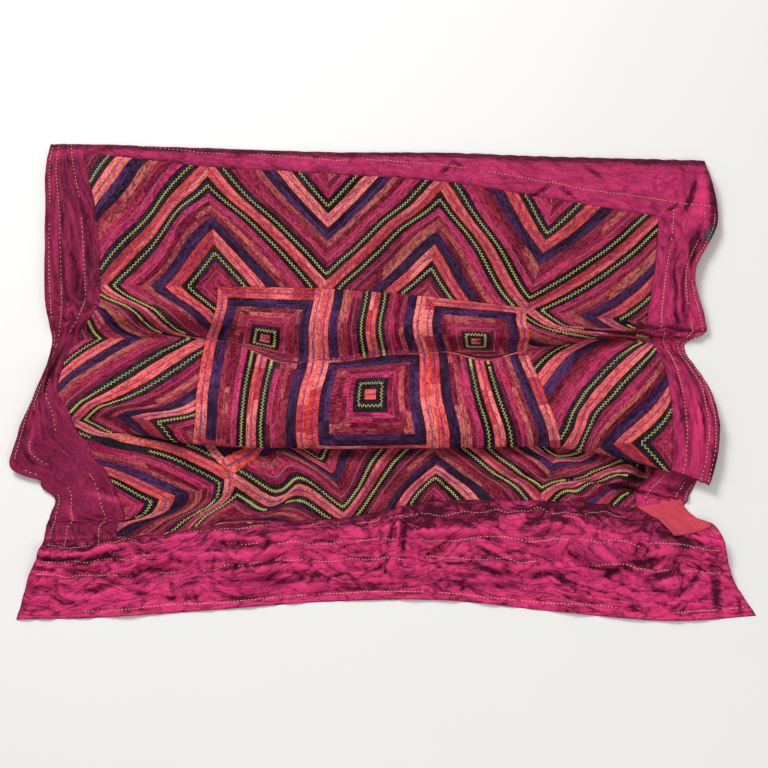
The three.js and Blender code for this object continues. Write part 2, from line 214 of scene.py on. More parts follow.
# Creases of the soft cloth, in the same columns. They lift or sink it along its own face, and on the border
# the sunken ones are also given painted shade.
CREASES = [
    ("seam gather", 28, -990, 76, 260, 38, 8),
    ("seam gather, left side", 0, -985, 76, 230, 30, -5),
    ("seam gather, right side", 58, -1000, 76, 200, 30, -5),
    ("left lip", -650, -948, 0, 560, 40, 6),
    ("left lip, end", -975, -962, 14, 240, 36, 7),
    ("under the left lip, end", -975, -988, 16, 190, 36, -9),
    ("under the left lip, first", -757, -980, 0, 130, 28, -6),
    ("under the left lip, second", -495, -994, -3, 300, 34, -8),
    ("left rumple, long", -727, -1043, -6, 150, 26, -5),
    ("left rumple, upright", -562, -1035, 84, 110, 24, -5),
    ("left rumple, slant", -790, -1103, -17, 160, 26, -6),
    ("left rumple, low", -650, -1131, 2, 150, 26, -5),
    ("left rumple, small", -1012, -1132, 0, 90, 24, -5),
    ("left smile, fall", -520, -1127, -24, 120, 26, -7),
    ("left smile, level", -450, -1142, 4, 120, 26, -7),
    ("middle slant, upper", -360, -1086, 13, 150, 24, -6),
    ("middle slant, lower", -300, -1103, 12, 260, 24, -6),
    ("hook, rise", -192, -1108, 78, 70, 24, -6),
    ("hook, top", -158, -1088, 4, 90, 24, -5),
    ("hook, fall", -112, -1110, -44, 100, 26, -8),
    ("hook, end", -50, -1136, -4, 120, 26, -7),
    ("pocket", 225, -942, 2, 430, 84, -10),
    ("lip of the pocket", 245, -980, 0, 420, 34, 8),
    ("fan, rise", 190, -1022, 17, 190, 26, -7),
    ("fan, fall", 310, -1065, -26, 240, 26, -7),
    ("fan, second fall", 360, -1035, -22, 200, 24, -5),
    ("right of the patch", 240, -1122, -45, 60, 24, -6),
    ("over the hem, middle", 335, -1118, 3, 250, 32, -7),
    ("small pocket", 525, -958, -4, 100, 36, -9),
    ("arc, rise", 500, -1086, 12, 110, 26, -8),
    ("arc, fall", 574, -1092, -24, 110, 26, -8),
    ("arc, ridge", 530, -1064, 2, 160, 30, 6),
    ("long crease, start", 735, -1063, 18, 130, 24, -7),
    ("long crease", 875, -1033, 9, 250, 24, -8),
    ("broad crease", 877, -1066, 17, 220, 36, -7),
    ("right crease, low", 945, -1100, 17, 120, 28, -7),
    ("right crease, rise", 1015, -1067, 31, 150, 28, -7),
    ("slot", 1072, -985, -5, 100, 28, -10),
    ("right upright fold", 1085, -1100, 63, 210, 48, -10),
    ("over the hem, right", 590, -1143, 0, 320, 30, -6),
    ("over the hem, far right", 800, -1147, -5, 180, 30, -5),
    ("right corner", 1143, -1145, 60, 100, 24, -5),
    ("top, first", 195, 948, 41, 90, 24, -4),
    ("top, second", 240, 970, -29, 80, 22, -4),
    ("top, third", 503, 928, 39, 130, 24, -5),
    ("top, fourth", 596, 937, -30, 100, 24, -5),
    ("top, fifth", 678, 1022, -37, 110, 24, -5),
    ("top, sixth", 965, 943, 30, 100, 24, -4),
    ("top, corner fold", 1055, 990, 57, 190, 34, -7),
    ("right flap, upper", 1031, 660, -74, 130, 28, -5),
    ("right flap, lower", 1036, 560, -68, 130, 30, -6),
    ("left flap, line", -1110, -235, 75, 80, 22, -5),
    ("left, over the bottom border", -1076, -947, -6, 220, 28, -8),
    ("apron gather, first", 985, -852, 38, 180, 24, 5),
    ("apron gather, second", 1010, -822, 40, 200, 24, -5),
    ("apron gather, third", 1050, -800, 42, 200, 24, 5),
    ("apron gather, fourth", 1090, -780, 42, 180, 24, -5),
]

# Painted shade (strength below 0) and painted light (above 0) on the velvet of the border and the strips,
# where folds, hollows and tilts of the lying cloth catch less or more light, in the same columns with a
# strength instead of a height.
PAINTED_LIGHT_AND_SHADE = [
    ("back, dimmer", 0, 740, 0, 2600, 560, -0.12),
    ("crease under the last blocks of the back", 800, 470, -8, 420, 60, -0.5),
    ("seat, brighter", 0, 0, 0, 2700, 480, 0.28),
    ("middle of the seat, brighter", 0, 0, 0, 1300, 460, 0.1),
    ("middle blocks, brighter", 0, 330, 0, 1350, 560, 0.28),
    ("left lobe, dimmer", -1080, -260, 90, 420, 300, -0.1),
    ("top, left end, dimmer", -700, 960, -6, 1000, 160, -0.16),
    ("upright fold at the end of the apron", 868, -640, 88, 640, 150, -0.95),
    ("pocket", 140, -930, -4, 250, 96, -0.65),
    ("pocket, right", 330, -936, 3, 260, 76, -0.6),
    ("seam gather", 28, -990, 76, 280, 60, 0.3),
    ("under the seam, left of the gather", -165, -932, 13, 380, 62, -0.7),
    ("under the apron, right", 770, -938, -11, 400, 66, -0.6),
    ("flap beside the lining", 950, -955, -16, 260, 84, -0.85),
    ("small pocket", 525, -958, -4, 110, 44, -0.3),
    ("slot", 1072, -985, -5, 110, 34, -0.3),
    ("patch by the hem", 125, -1105, -8, 300, 56, -0.35),
    ("right upright fold", 1085, -1100, 63, 230, 60, -0.2),
    ("left hem corner", -1160, -1060, 80, 260, 60, -0.25),
    ("under the left lip", -970, -990, 16, 230, 44, -0.5),
    ("top, corner strip", 1105, 985, 62, 300, 96, 0.3),
    ("top, beside the strip", 1050, 985, 57, 220, 46, -0.35),
    ("top, outer flap", 1176, 950, 90, 320, 96, -1.1),
    ("right end of the crease", 860, 525, -14, 420, 66, -0.5),
    ("right, under the strip", 1110, 820, -54, 220, 110, -0.5),
    ("right, hollow", 1050, 440, 110, 320, 150, -0.45),
    ("right, crease by the field", 905, 455, -72, 200, 50, -0.7),
    ("seat, beside the stitches", 955, -120, -80, 260, 50, -0.35),
    ("seat, light panel", 1040, -130, 86, 280, 100, 0.28),
    ("seat, outer bump", 1180, -120, 90, 240, 60, -0.6),
    ("seat, outer edge", 1165, -250, 116, 190, 70, -0.6),
    ("under the front fold, right", 1110, -600, 60, 300, 190, -0.55),
    ("apron gather", 1010, -815, 41, 280, 120, 0.3),
    ("left flap, streak", -1086, -150, 84, 300, 46, 0.4),
    ("left flap, second streak", -1040, 330, 96, 320, 50, 0.3),
    ("left flap, third streak", -1120, 640, 88, 280, 44, 0.28),
    ("left flap, fourth streak", -985, 600, 80, 300, 36, 0.2),
    ("left apron, streak", -1095, -600, 102, 300, 36, 0.4),
    ("left apron, ridge", -950, -492, -28, 200, 44, 0.45),
    ("left apron, end", -1076, -940, -6, 260, 34, -0.5),
]

# The border's nap in each part of the cloth, painted as it catches the light: how bright it is painted, how
# much painted sheen it gains where it tilts, how much painted shade it takes where it is creased, and how
# crumpled it is.
NAP_PAINTED_LIGHT = {
    "left": (0.22, 1.0, 0.04, 0.18),
    "right": (0.54, 1.2, 0.06, 0.4),
    "top": (0.53, 1.2, 0.1, 0.35),
    "bottom": (0.65, 1.25, 0.05, 0.9),
    "field": (0.3, 1.0, 0.04, 0.4),
}
NEAR = 11  # how far away the cloth is with which a hollow is compared
HOLLOW_PAINTED_SHADE = 0.07  # painted shade in hollows and painted light on ridges: how much brighter for each millimetre that it stands over that cloth
PAINTED_SHEEN_WAY, PAINTED_SHEEN_FLAT = (0.0, -0.3, 0.95), 0.94  # painted sheen: the way the velvet faces where it is painted brightest, and how far it must face that way before it is painted brighter instead of darker
TURN_WIDTH, TURN_PAINTED_SHADE = 22, 0.5  # width of the top fold's far side, and how much painted shade darkens it
NAP_RANGE = (0.02, 1.1)
FACING_AT, FACING_LONG, FACING_WIDE = 860, 48, 34  # the dark facing at the right hem

# The lining that shows where the right border is turned over, from its upper edge under the fold down:
# left end and right end, x and y.
LINING_ROWS = [
    ("under the gathers", (772, -380), (902, -350)),
    ("upper edge", (774, -391), (906, -368)),
    ("beside the seam", (797, -408), (919, -392)),
    ("beside the pocket", (821, -427), (946, -418)),
    ("on the lip", (842, -455), (984, -447)),
    ("lower edge", (866, -483), (930, -470)),
]

# How the lying patchwork is pulled along the cloth: place along, and the shift at each of the lines from
# the field's left seam to the left seam of its last blocks. At the other lines it is not pulled.
PULLS = [
    (HEM, 0, 0, 0, 0, 0),
    (FIELD, 0, 0, 0, 0, 0),
    (FIELD - 45, 0, -13, -9, -14, -17),
    (2 * BLOCK, 0, 12, -8, 6, -14),
    (620, 0, 13, 0, 2, -8),
    (1.5 * BLOCK, 0, -5, -6, -2, 2),
    (500, 0, -34, -36, -10, 2),
    (430, 0, -86, -90, -70, -60),
    (BLOCK, 0, -112, -116, -98, -94),
    (300, 0, -102, -108, -108, -104),
    (245, 0, -62, -58, -58, -62),
    (0.5 * BLOCK, 0, -4, 14, 2, -6),
    (148, 0, -2, 24, 20, -4),
    (115, 0, 0, 26, 24, 0),
    (82, 0, 0, 40, 38, 0),
    (50, 0, 0, 34, 34, 0),
    (16, 0, 0, 18, 18, 0),
    (-16, 0, 0, 12, 12, 0),
    (-50, 0, 0, -5, -5, 0),
    (-82, 0, 0, -9, -9, 0),
    (-115, 0, 4, -20, -20, -14),
    (-148, 0, 8, -26, -26, -24),
    (-0.5 * BLOCK, 0, 12, -28, -28, -30),
    (-260, 0, 0, 0, 0, 0),
    (-1.5 * BLOCK, 0, 0, 0, 0, 0),
    (-634, -86, -78, 0, 0, 0),
    (-715, -166, -150, 0, 0, 0),
    (-765, -130, -122, 0, 0, 0),
    (-835, -67, -64, 0, 0, 0),
    (-FIELD, 0, 0, 0, 0, 0),
    (-HEM, 0, 0, 0, 0, 0),
]

# Places where it is pulled askew: name, across, along, whole width and length, shift across and along.
TUGS = [
    ("upper part of the first column", -760, 715, 294, 400, 20, -16),
    ("crease under the second block", -300, 190, 340, 220, 0, -46),
    ("crease over the middle block", 40, 190, 340, 150, 0, 28),
    ("crease under the fourth block", 390, 190, 300, 220, 0, -44),
    ("right point of the crease", 705, 182, 340, 300, 38, 58),
    ("right end of the front fold", 740, -185, 320, 330, -44, 20),
    ("right side of the seat", 700, 10, 340, 260, -20, -6),
    ("left end of the front fold", -690, -185, 400, 300, -20, 36),
    ("right of the apron", 544, -700, 380, 230, -8, 42),
    ("left of the apron", -650, -560, 340, 200, 4, -18),
    ("ridge of the apron", -292, -700, 270, 440, 0, 128),
    ("foot of the apron, left", -730, -690, 350, 420, 50, 0),
    ("foot of the apron, right", 765, -640, 300, 400, 0, 112),
    ("under the foot, right", 705, -810, 220, 190, 0, -56),
]

# ---- how the cloth is sewn ----
# Blocks of the field from its top row down: / and \\ are strips on the diagonal, o nested squares and
# i upright stripes.
BLOCKS = np.array([list(row) for row in ("/\\/\\/", "\\oio\\", "/ioi/", "\\oio\\", "/\\/\\/")])

# Zigzags: name, thread, bands that they are worked on, pitch, angle of the strokes in degrees, and the
# shares that a stroke's length and width are of the settings'.
ZIGZAGS = [
    ("lime_zigzag", "lime", (1, 6), 10.8, 58, 1.2, 0.9),
    ("violet_zigzag", "violet", (0, 5), 10.5, 55, 0.95, 1.05),
    ("sage_zigzag", "sage", (2, 7), 12.5, 46, 0.74, 0.85),
]

# Rows of running stitches on each side of the border: how far they are from the field's seam.
RUNNING_ROWS = {
    "top": (52, 250),
    "left": (67, 187, 247),
    "right": (62, 202, 252),
    "bottom": (30, 90, 140, 246),
}
RUNNING_PITCH = 11.0
PAST_CORNER = 30  # how far the upright rows run on past the field's corners
SHORT_OF_HEM = 22  # where the level rows end
SWAY, SWAY_SPACING = 5.0, 170  # how far a row wanders, and over what distance
CRUMPLED_SWAY, CRUMPLED_SPACING = 7.0, 48  # the same for the inner rows of the bottom border
WORN_SPACING, WORN_ABOVE = 75, 0.5  # stitches are worn away where a soft chance is above this
STITCH_SIZES = ("Length", "Width", "Unevenness")
STANDS = 0.3  # how far a thread stands over the velvet, in its widths
HALF_STITCH = 0.6  # from a stitch's middle to past its end, in its lengths
DARKEST_STITCHED = -0.4  # the painted shade down to which stitches show in a hollow
LEAST_WIDTH, LEAST_AREA = 0.28, 0.24  # shares of the flat cloth that is left where stitches still show
STEP = 3  # the distance over which that is measured
ZIGZAG_UNEVEN, RUNNING_UNEVEN = 0.15, 0.3  # how much longer a stitch may be, in its lengths
RUNNING_APART = 0.0085  # metres at least between running stitches

# ---- dyes ----
# Each dye has shades that its strips take by turns.
DYES = {
    "coral": ["#dc5e5a", "#d24c48", "#b63638", "#e27068"],
    "black": ["#261f28", "#2a232e", "#1e1820"],
    "magenta": ["#a62650", "#941e46", "#741638", "#b62c5c"],
    "rust": ["#8a2c3c", "#a0464a", "#6c1a2e", "#a85450", "#82283a"],
    "purple": ["#3a2140", "#2f1a34", "#48274f"],
}
# Bands from a block's middle outwards.
BAND_DYES = ["coral", "black", "magenta", "rust", "purple", "coral", "black", "magenta", "rust"]
CRUSH = {"coral": 0.35, "black": 0.5, "magenta": 0.5, "rust": 1.0, "purple": 0.6}  # how mottled each is
PAIRED_BANDS = [0, 1, 5, 6]  # bands whose two strips are cut from the same velvet
MIDDLE_CUT, OUTER_CUT = (60, 120), (240, 300)  # shortest piece of velvet in a strip, and how much longer
LONGEST_SHIFT = 300  # of the first piece
PAINTED_SHADE_RANGE = (-0.8, 0.5)  # how much painted shade may darken a dye and painted light may lighten it
UNEVEN_DYE = (0.9, 0.2)  # the darkest that a strip is of its dye, and how much more


# ---- settings ----
def linear(code):
    """The scene-linear colour of a written shade."""
    parts = [int(code[i:i + 2], 16) / 255 for i in (1, 3, 5)]
    return tuple(p / 12.92 if p <= 0.04045 else ((p + 0.055) / 1.055) ** 2.4 for p in parts)


def colour(name, description, code):
    return FloatVectorProperty(name=name, description=description, default=linear(code), size=3,
                               subtype="COLOR", min=0, max=1)


def length(name, description, default, high):
    return FloatProperty(name=name, description=description, default=default, min=0, max=high,
                         unit="LENGTH", precision=4)


class VelvetSettings(PropertyGroup):
    """Sizes and colours of the velvet."""

    pillow: length("Strip crown", "How far the middle of a sewn strip rises over its seams", 0.0011, 0.004)
    rumple: FloatProperty(name="Rumple", description="Strength of the fine wrinkles", default=1.0,
                          min=0, max=1.5)
    # The border's colour runs between these two: painted sheen and painted shade from the nap attribute pick
    # between them, as well as the velvet's own crushed mottle.
    border_light: colour("Border, light", "Border velvet where its nap shines", "#e63a7a")
    border_dark: colour("Border, dark", "Border velvet where its nap turns away", "#480c24")
    lining: colour("Lining", "Cotton lining", "#d2495a")


class StitchSettings(PropertyGroup):
    """Sizes and colours of the hand stitches."""

    zigzag_length: length("Zigzag stroke", "Length of one stroke of a zigzag", 0.0092, 0.02)
    zigzag_width: length("Zigzag thread", "Width of the zigzag thread", 0.0025, 0.004)
    running_length: length("Running stitch", "Length of one running stitch", 0.0052, 0.02)
    running_width: length("Running thread", "Width of the running-stitch thread", 0.0024, 0.004)
    lime: colour("Lime thread", "Zigzag on the black strips", "#f2ea80")
    violet: colour("Violet thread", "Zigzag on the coral strips", "#5636a0")
    sage: colour("Sage thread", "Zigzag on the magenta strips", "#8c9468")
    cream: colour("Cream thread", "Running stitches of the border", "#efd9a8")


class StageSettings(PropertyGroup):
    """Floor, light and camera."""

    floor: colour("Floor", "Colour of the plain floor", "#f2f1ef")
    key: FloatProperty(name="Key light", description="Strength of the large soft light", default=440.0,
                       min=0, unit="POWER")
    surround: FloatProperty(name="Surrounding light", description="Strength of the even light", default=0.42,
                            min=0)
    distance: length("Camera distance", "From the camera to the cloth", 4.5, 20)
    elevation: FloatProperty(name="Camera elevation", description="Angle of the camera over the floor",
                             default=math.radians(72), subtype="ANGLE", unit="ROTATION")
    lens: FloatProperty(name="Lens", description="Focal length of the camera", default=68.04,
                        unit="CAMERA")


# ---- the lying cloth ----
def smooth(knots, values, at):
    """Values at rising or falling knots, read anywhere between them as one smooth curve, and the interval
    with a fraction."""
    last, shape = len(knots) - 1, (len(knots), len(at))
    knots, values = (np.broadcast_to(np.reshape(table, (last + 1, -1)), shape) for table in (knots, values))
    step = np.diff(knots, axis=0)
    slope = np.diff(values, axis=0) / step
    before, after = step[:-1], step[1:]
    inner = (after * slope[:-1] + before * slope[1:]) / (before + after)
    tangent = np.concatenate([slope[:1], inner, slope[-1:]])
    interval = (((at - knots[1:last]) * np.sign(knots[-1] - knots[0])) > 0).sum(axis=0)

    def take(table, plus=0):
        return np.take_along_axis(table, interval[None] + plus, axis=0)[0]

    width = take(step)
    t = (at - take(knots)) / width
    start = (1 + 2 * t) * (1 - t) ** 2
    leave, arrive = t * (1 - t) ** 2, t * t * (t - 1)
    ends = start * take(values) + (1 - start) * take(values, 1)
    return ends + width * (leave * take(tangent) + arrive * take(tangent, 1)), interval + t


def at_lines(values, across):
    """Each of these values at places across: a list has one value for each of the lines."""
    columns, which = np.unique(across, return_inverse=True)
    rows = [np.full(len(columns), float(value)) if np.isscalar(value) else smooth(LINES, value, columns)[0]
            for value in values]
    return np.array(rows)[:, which]


def bump(s, w):
    """A soft height: 1 in the middle, and 0 from where s or w is 1 away."""
    return np.where((np.abs(s) < 1) & (np.abs(w) < 1), (1 - s * s) ** 2 * (1 - w * w) ** 2, 0)


def soft_folds(table, across, along):
    """The height that a table of soft ridges and troughs adds."""
    total = np.zeros(len(across))
    for _, middle, up_to, heading, long, wide, high in table:
        right, up = across - middle, along - up_to
        near = np.flatnonzero(np.hypot(right, up) < math.hypot(long, wide) / 2)
        cos, sin = math.cos(math.radians(heading)), math.sin(math.radians(heading))
        total[near] += high * bump((right[near] * cos + up[near] * sin) / (long / 2),
                                   (up[near] * cos - right[near] * sin) / (wide / 2))
    return total


def lay(across, along):
    """Where the middle of the cloth lies at flat places, and the section that each place is at."""
    knots = (at_lines([section.beyond for section in SECTIONS], across)
             + np.array([[section.along] for section in SECTIONS]))
    (x, _), (y, _), (z, section_at) = (
        smooth(knots, at_lines([getattr(section, axis) for section in SECTIONS], across), along)
        for axis in "xyz")
    z = np.maximum(LYING, z + soft_folds(FOLDS, across, along))
    return np.stack([x, y, z], axis=1), section_at


def pulled(across, along):
    """Where a place of the patchwork is on the lying cloth."""
    shifts = at_lines([[0, *row[1:], 0, 0] for row in PULLS], across)
    to_across, to_along = across.copy(), along + smooth([row[0] for row in PULLS], shifts, along)[0]
    for _, middle, up_to, wide, long, right, up in TUGS:
        near = bump((across - middle) / (wide / 2), (along - up_to) / (long / 2))
        to_across += right * near
        to_along += up * near
    return to_across, to_along


def in_chunks(work, *columns, size=30000):
    """The results of work over long columns of places, a part at a time."""
    parts = [work(*(c[i:i + size] for c in columns)) for i in range(0, len(columns[0]), size)]
    return [np.concatenate(result) for result in zip(*parts)]


def unit(vectors):
    return vectors / np.maximum(np.linalg.norm(vectors, axis=-1, keepdims=True), 1e-9)


def lay_with_directions(across, along):
    """Place, section, and the directions right, up along the cloth, and out of its velvet side."""
    def work(a, b):
        here, section_at = lay(a, b)
        right = lay(a + 1, b)[0] - lay(a - 1, b)[0]
        up = unit(lay(a, b + 1)[0] - lay(a, b - 1)[0])
        out = unit(np.cross(right, up))
        return here, section_at, np.cross(up, out), up, out

    return in_chunks(work, across, along)


# ---- fine wrinkles ----
CHANCE = np.random.default_rng(7).uniform(-1, 1, (256, 256))
LAYER_SHIFT = (37.7, 91.3)  # keeps the layers of one pattern apart

# Wrinkles of each part of the cloth: spacing across and along, and height.
WRINKLES = {
    "field": [(95, 80, 1.8), (38, 34, 0.8)],
    "top": [(110, 60, 3.4), (44, 34, 2.4)],
    "left": [(44, 150, 4.0), (28, 60, 2.2)],
    "right": [(60, 100, 4.0), (32, 38, 2.4)],
    "bottom": [(130, 50, 7.0), (64, 30, 4.6), (30, 20, 2.0)],
}
SEAM_BLEND = 50  # width of the soft change from one part to the next
WARP, WARP_SPACING, SLANT = 24, 130, 0.25  # how far wrinkles wander, over what distance, and their slant


def cloudy(x, y, layer=0):
    """A soft random height between -1 and 1 that changes over about one unit."""
    x, y = x + LAYER_SHIFT[0] * layer, y + LAYER_SHIFT[1] * layer
    i, j = np.floor(x).astype(int), np.floor(y).astype(int)
    u, v = x - i, y - j
    u, v = u * u * (3 - 2 * u), v * v * (3 - 2 * v)
    low, high = (CHANCE[i % 256, (j + d) % 256] * (1 - u) + CHANCE[(i + 1) % 256, (j + d) % 256] * u
                 for d in (0, 1))
    return low * (1 - v) + high * v


def part_weights(across, along):
    """How much a place belongs to each part of the cloth, with soft changes at the seams."""
    bottom, top, left, right = (np.clip(0.5 + past / SEAM_BLEND, 0, 1) for past in (
        -FIELD - along, along - FIELD, -FIELD - across, across - FIELD))
    sides = (1 - bottom) * (1 - top)
    return {"bottom": bottom, "top": top, "left": left * sides, "right": right * sides,
            "field": sides * (1 - left) * (1 - right)}


def wrinkles(across, along, section_at):
    """Height of creases and fine wrinkles over the smooth cloth: broad swells between sharp valleys."""
    warp = WARP * cloudy(across / WARP_SPACING, along / WARP_SPACING, 5)
    total = np.zeros(len(across))
    for part, weight in part_weights(across, along).items():
        inside = np.flatnonzero(weight > 0)
        for layer, (wide, long, high) in enumerate(WRINKLES[part], start=1):
            x = (across[inside] + warp[inside] + SLANT * along[inside]) / wide
            y = (along[inside] + 0.7 * warp[inside]) / long
            total[inside] += weight[inside] * high * (2.6 * np.abs(cloudy(x, y, layer)) ** 0.8 - 1)
    total = total * bpy.context.scene.bedspread_velvet.rumple + soft_folds(CREASES, across, along)
    return total * np.interp(section_at, np.arange(len(SECTIONS)), [section.free for section in SECTIONS])


def skins(across, along, crown=0.0):
    """Upper and lower face of the cloth in metres, with crowned strips on the upper one."""
    here, section_at, _, _, out = lay_with_directions(across, along)
    high = wrinkles(across, along, section_at)[:, None]
    crown = np.broadcast_to(crown, len(across))[:, None] / METRE
    top = here + out * (high + THICK / 2 + crown)
    low = here + out * (high - THICK / 2)
    low[:, 2] = np.maximum(low[:, 2], 0)
    top[:, 2] = np.maximum(top[:, 2], THINNEST)
    return (top + TO_MIDDLE) * METRE, (low + TO_MIDDLE) * METRE


# ---- meshes ----
def added(name, data):
    """A new object of the scene."""
    made = bpy.data.objects.new(name, data)
    bpy.context.scene.collection.objects.link(made)
    return made


def closed_sheet(name, top, low, faces, materials):
    """A closed mesh between two skins that share their faces. The lower skin and no other is lining."""
    count = len(top)
    edges = np.concatenate([faces[:, [i, (i + 1) % faces.shape[1]]] for i in range(faces.shape[1])]).tolist()
    there = set(map(tuple, edges))
    walls = [(b, a, a + count, b + count) for a, b in edges if (b, a) not in there]
    under = (faces[:, ::-1] + count).tolist()
    mesh = bpy.data.meshes.new(name)
    mesh.from_pydata(np.concatenate([top, low]).tolist(), [], faces.tolist() + under + walls)
    mesh.polygons.foreach_set("material_index", [0] * len(faces) + [1] * len(under) + [0] * len(walls))
    mesh.shade_smooth()
    for material in materials:
        mesh.materials.append(material)
    return added(name, mesh)


def write_corners(mesh, name, upper):
    """A map (2 values a corner) or a dye (4 values) on the upper faces' corners, and zero elsewhere."""
    size = upper.shape[-1]
    values = np.zeros((len(mesh.loops), size), np.float32)
    values[:upper.size // size] = upper.reshape(-1, size)
    if size == 2:
        mesh.uv_layers.new(name=name).uv.foreach_set("vector", values.ravel())
    else:
        layer = mesh.color_attributes.new(name=name, type="FLOAT_COLOR", domain="CORNER")
        layer.data.foreach_set("color", values.ravel())


def lattice(across, along, keep=lambda a, b: np.full(len(a), True)):
    """A grid of flat places and its cells where keep is true: corners left-low, right-low, right-high,
    left-high. Rows run down the cloth."""
    columns, rows = len(across), len(along)
    c, r = (grid.ravel() for grid in np.meshgrid(np.arange(columns - 1), np.arange(rows - 1)))
    kept = keep((across[c] + across[c + 1]) / 2, (along[r] + along[r + 1]) / 2)
    high_left = (r * columns + c)[kept]
    low_left = high_left + columns
    cells = np.stack([low_left, low_left + 1, high_left + 1, high_left], axis=1)
    used, faces = np.unique(cells, return_inverse=True)
    return np.tile(across, rows)[used], np.repeat(along, columns)[used], faces.reshape(cells.shape)


def middles(faces, *values):
    return [value[faces].mean(axis=1) for value in values]


def flat_map(faces, run, over):
    return np.stack([run[faces], over[faces]], axis=2) * METRE


# ---- the patchwork ----
def block_place(across, along):
    """Row and column of the block, and the place in it from its upper left corner, 0 to 1."""
    column = np.clip(np.floor((across + FIELD) / BLOCK), 0, 4).astype(int)
    row = np.clip(np.floor((FIELD - along) / BLOCK), 0, 4).astype(int)
    return row, column, (across + FIELD) / BLOCK - column, (FIELD - along) / BLOCK - row


def strip_place(across, along):
    """Block, its kind, strips from the middle with a fraction, a number for the side, and the way along."""
    row, column, a, b = block_place(across, along)
    kind = BLOCKS[row, column]
    rising, falling, nested = kind == "/", kind == "\\", kind == "o"
    diagonal = rising | falling
    dx, dy = (a - 0.5) * STRIPS, (b - 0.5) * STRIPS
    s = np.select([rising, falling, nested],
                  [(a + b - 1) * DIAGONAL_STRIPS, (a - b) * DIAGONAL_STRIPS,
                   np.maximum(np.abs(dx), np.abs(dy))], dx)
    level = nested & (np.abs(dy) >= np.abs(dx))
    side = np.where(nested, np.where(level, 2, 4) + np.sign(np.where(level, dy, dx)), np.sign(s))
    way = np.where(diagonal | level, a, b) * BLOCK * np.where(diagonal, math.sqrt(2), 1)
    return row * 5 + column, kind, np.abs(s), side, way


def dice(*keys):
    """A repeatable random number from 0 to 1 for whole-numbered keys."""
    mixed = np.zeros(np.shape(keys[0]), np.uint64)
    for key, odd in zip(keys, (2654435761, 40503, 2246822519, 3266489917, 668265263)):
        mixed += (np.asarray(key).astype(np.int64) + 1009).astype(np.uint64) * np.uint64(odd)
        mixed ^= mixed >> np.uint64(13)
        mixed *= np.uint64(1274126177)
        mixed ^= mixed >> np.uint64(16)
    return (mixed % np.uint64(65536)).astype(float) / 65536


def strip_dyes(across, along):
    """Colour of the velvet at places inside the strips, with painted shade and painted light on it, and how
    mottled it is.
    """
    block, _, s, side, way = strip_place(across, along)
    strip = np.floor(s).astype(int)
    band = (strip + 1) // 2
    middle = np.maximum(np.abs(across), np.abs(along)) < 1.5 * BLOCK
    shortest, more = (np.where(middle, inner, outer) for inner, outer in zip(MIDDLE_CUT, OUTER_CUT))
    cut = shortest + more * dice(block, side, band)
    segment = np.floor((way + LONGEST_SHIFT * dice(block, side, band, 3)) / cut).astype(int)
    turn = np.where(np.isin(band, PAIRED_BANDS), dice(block, side, band, segment),
                    dice(block, side, strip, segment, 2))
    colours = np.zeros((len(across), 4))
    for number, name in enumerate(BAND_DYES):
        shades = np.array([(*linear(code), CRUSH[name]) for code in DYES[name]])
        inside = band == number
        colours[inside] = shades[(turn[inside] * len(shades)).astype(int)]
    # Painted shade and painted light: the table darkens or lightens each dye where the lying cloth catches
    # less or more light.
    light = 1 + np.clip(soft_folds(PAINTED_LIGHT_AND_SHADE, *pulled(across, along)), *PAINTED_SHADE_RANGE)
    colours[:, :3] *= ((UNEVEN_DYE[0] + UNEVEN_DYE[1] * dice(block, side, strip, 9)) * light)[:, None]
    return colours


def strip_crown(across, along):
    """Height of the crowned strips: none at their seams and at the edges of the blocks."""
    _, _, a, b = block_place(across, along)
    edge = np.minimum(np.minimum(a, 1 - a), np.minimum(b, 1 - b)) * BLOCK
    inside = strip_place(across, along)[2] % 1
    return (4 * inside * (1 - inside)) * np.clip(edge / 7, 0, 1) * bpy.context.scene.bedspread_velvet.pillow


def strip_map(across, along, middle_across, middle_along):
    """Map whose first axis runs along each strip and whose second runs over it, apart for each strip."""
    block, kind, s, side, _ = strip_place(middle_across, middle_along)
    shift = dice(block, side, np.floor(s).astype(int), 4)[:, None]
    level = (kind == "o") & (side >= 1) & (side <= 3)
    cases = [(kind == "/")[:, None], (kind == "\\")[:, None], level[:, None]]
    one, two = (across + along) / math.sqrt(2), (across - along) / math.sqrt(2)
    run = np.select(cases, [one, two, across], along) + 700 * shift
    over = np.select(cases, [two, one, along], across) + 300 * shift
    return np.stack([run, over], axis=2) * METRE


def pieced(name, strips, first, last, **keep):
    """Blocks of the field as one sheet: a lattice whose lines or diagonals are the seams of the strips."""
    grid = np.linspace(-FIELD + first * BLOCK, -FIELD + last * BLOCK,
                       (last - first) * strips * CELLS_PER_STRIP + 1)
    across, along, cells = lattice(grid, -grid, **keep)
    row, column, _, _ = block_place(*middles(cells, across, along))
    rising = (BLOCKS[row, column] != "\\")[:, None]
    faces = np.concatenate([np.where(rising, cells[:, [0, 1, 2]], cells[:, [0, 1, 3]]),
                            np.where(rising, cells[:, [0, 2, 3]], cells[:, [1, 2, 3]])])
    top, low = skins(*pulled(across, along), strip_crown(across, along))
    piece = closed_sheet(name, top, low, faces, [finish_of(pieced_velvet), finish_of(lining_cotton)])
    middle = middles(faces, across, along)
    write_corners(piece.data, "dye", np.repeat(strip_dyes(*middle)[:, None], 3, axis=1))
    write_corners(piece.data, "strip", strip_map(across[faces], along[faces], *middle))
    write_corners(piece.data, "flat", flat_map(faces, across, along))
    return piece


# ---- finishes ----
class Wire:
    """A socket of a node tree, for arithmetic on values."""

    def __init__(self, tree, socket):
        self.tree, self.socket = tree, socket

    def __add__(self, other):
        return self.tree.maths("ADD", self, other)

    def __sub__(self, other):
        return self.tree.maths("SUBTRACT", self, other)

    def __mul__(self, other):
        return self.tree.maths("MULTIPLY", self, other)

    def __abs__(self):
        return self.tree.maths("ABSOLUTE", self)

    __radd__ = __add__


